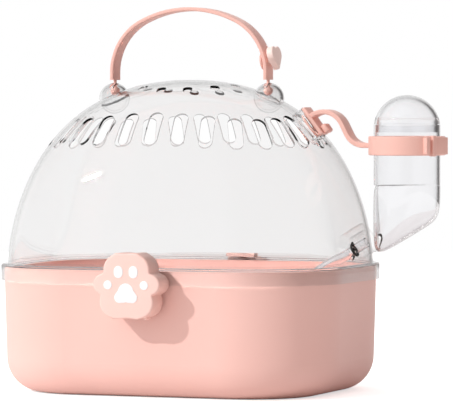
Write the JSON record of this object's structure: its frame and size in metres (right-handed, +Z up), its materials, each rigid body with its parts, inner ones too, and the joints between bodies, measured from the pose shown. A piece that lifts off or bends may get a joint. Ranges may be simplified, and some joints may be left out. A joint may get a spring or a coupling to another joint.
{
  "type": "bird travel carrier",
  "caption": "Small bird travel carrier: rounded pink tub, clear vented dome lid held by paw-shaped latches, soft carrying handle and a side bottle that feeds through a sloping port.",
  "frame": {"origin": "middle of the underside of the tub, on the surface it stands on", "axes": "+X along the long side towards the bottle, +Y to the back, +Z up"},
  "size_m": [0.2888, 0.2188, 0.2461],
  "materials": {
    "tub_plastic": "satin",
    "latch_plastic": "satin",
    "clear_lid": "clear gloss",
    "clear_bottle": "clear gloss",
    "soft_strap": "soft satin",
    "white_inlay": "satin",
    "pin_steel": "bright",
    "black_rubber": "matte"
  },
  "bodies": {
    "tub": {"tub": "tub_plastic", "front_latch_pin": "pin_steel", "back_latch_pin": "pin_steel"},
    "lid": {"dome_lid": "clear_lid", "hanger_plug": "soft_strap"},
    "handle": {"handle_strap": "soft_strap", "handle_button": "soft_strap", "handle_button_disc": "soft_strap"},
    "front_latch": {"front_latch_paw": "latch_plastic", "front_latch_pads": "white_inlay", "front_latch_hook": "latch_plastic"},
    "back_latch": {"back_latch_paw": "latch_plastic", "back_latch_pads": "white_inlay", "back_latch_hook": "latch_plastic"},
    "bottle": {"bottle_tube": "clear_bottle", "bottle_elbow": "clear_bottle", "bottle_seal": "black_rubber", "spout_tube": "clear_bottle", "hanger_strap": "soft_strap"},
    "cap": {"bottle_cap": "clear_bottle"},
    "ball": {"spout_ball": "pin_steel"}
  },
  "joints": [
    {"name": "lid_lift", "type": "slide", "parent": "tub", "child": "lid", "axis": [0, 0, 1], "range_m": [0, 0.1], "deforming": ["front_latch_hook", "back_latch_hook"]},
    {"name": "front_latch_turn", "type": "hinge", "parent": "tub", "child": "front_latch", "pos_m": [0, -0.099, 0.058], "axis": [1, 0, 0], "range_deg": [0, 95]},
    {"name": "back_latch_turn", "type": "hinge", "parent": "tub", "child": "back_latch", "pos_m": [0, 0.099, 0.048], "axis": [-1, 0, 0], "range_deg": [0, 95]},
    {"name": "handle_swing", "type": "hinge", "parent": "lid", "child": "handle", "pos_m": [0, 0, 0.1925], "axis": [1, 0, 0], "range_deg": [-50, 50]},
    {"name": "bottle_pull", "type": "slide", "parent": "lid", "child": "bottle", "axis": [0.866, 0, 0.5], "range_m": [0, 0.05], "deforming": ["hanger_strap"]},
    {"name": "cap_pull", "type": "slide", "parent": "bottle", "child": "cap", "axis": [0, 0, 1], "range_m": [0, 0.03]},
    {"name": "ball_travel", "type": "slide", "parent": "bottle", "child": "ball", "axis": [0.866, 0, 0.5], "range_m": [0, 0.0015]}
  ]
}
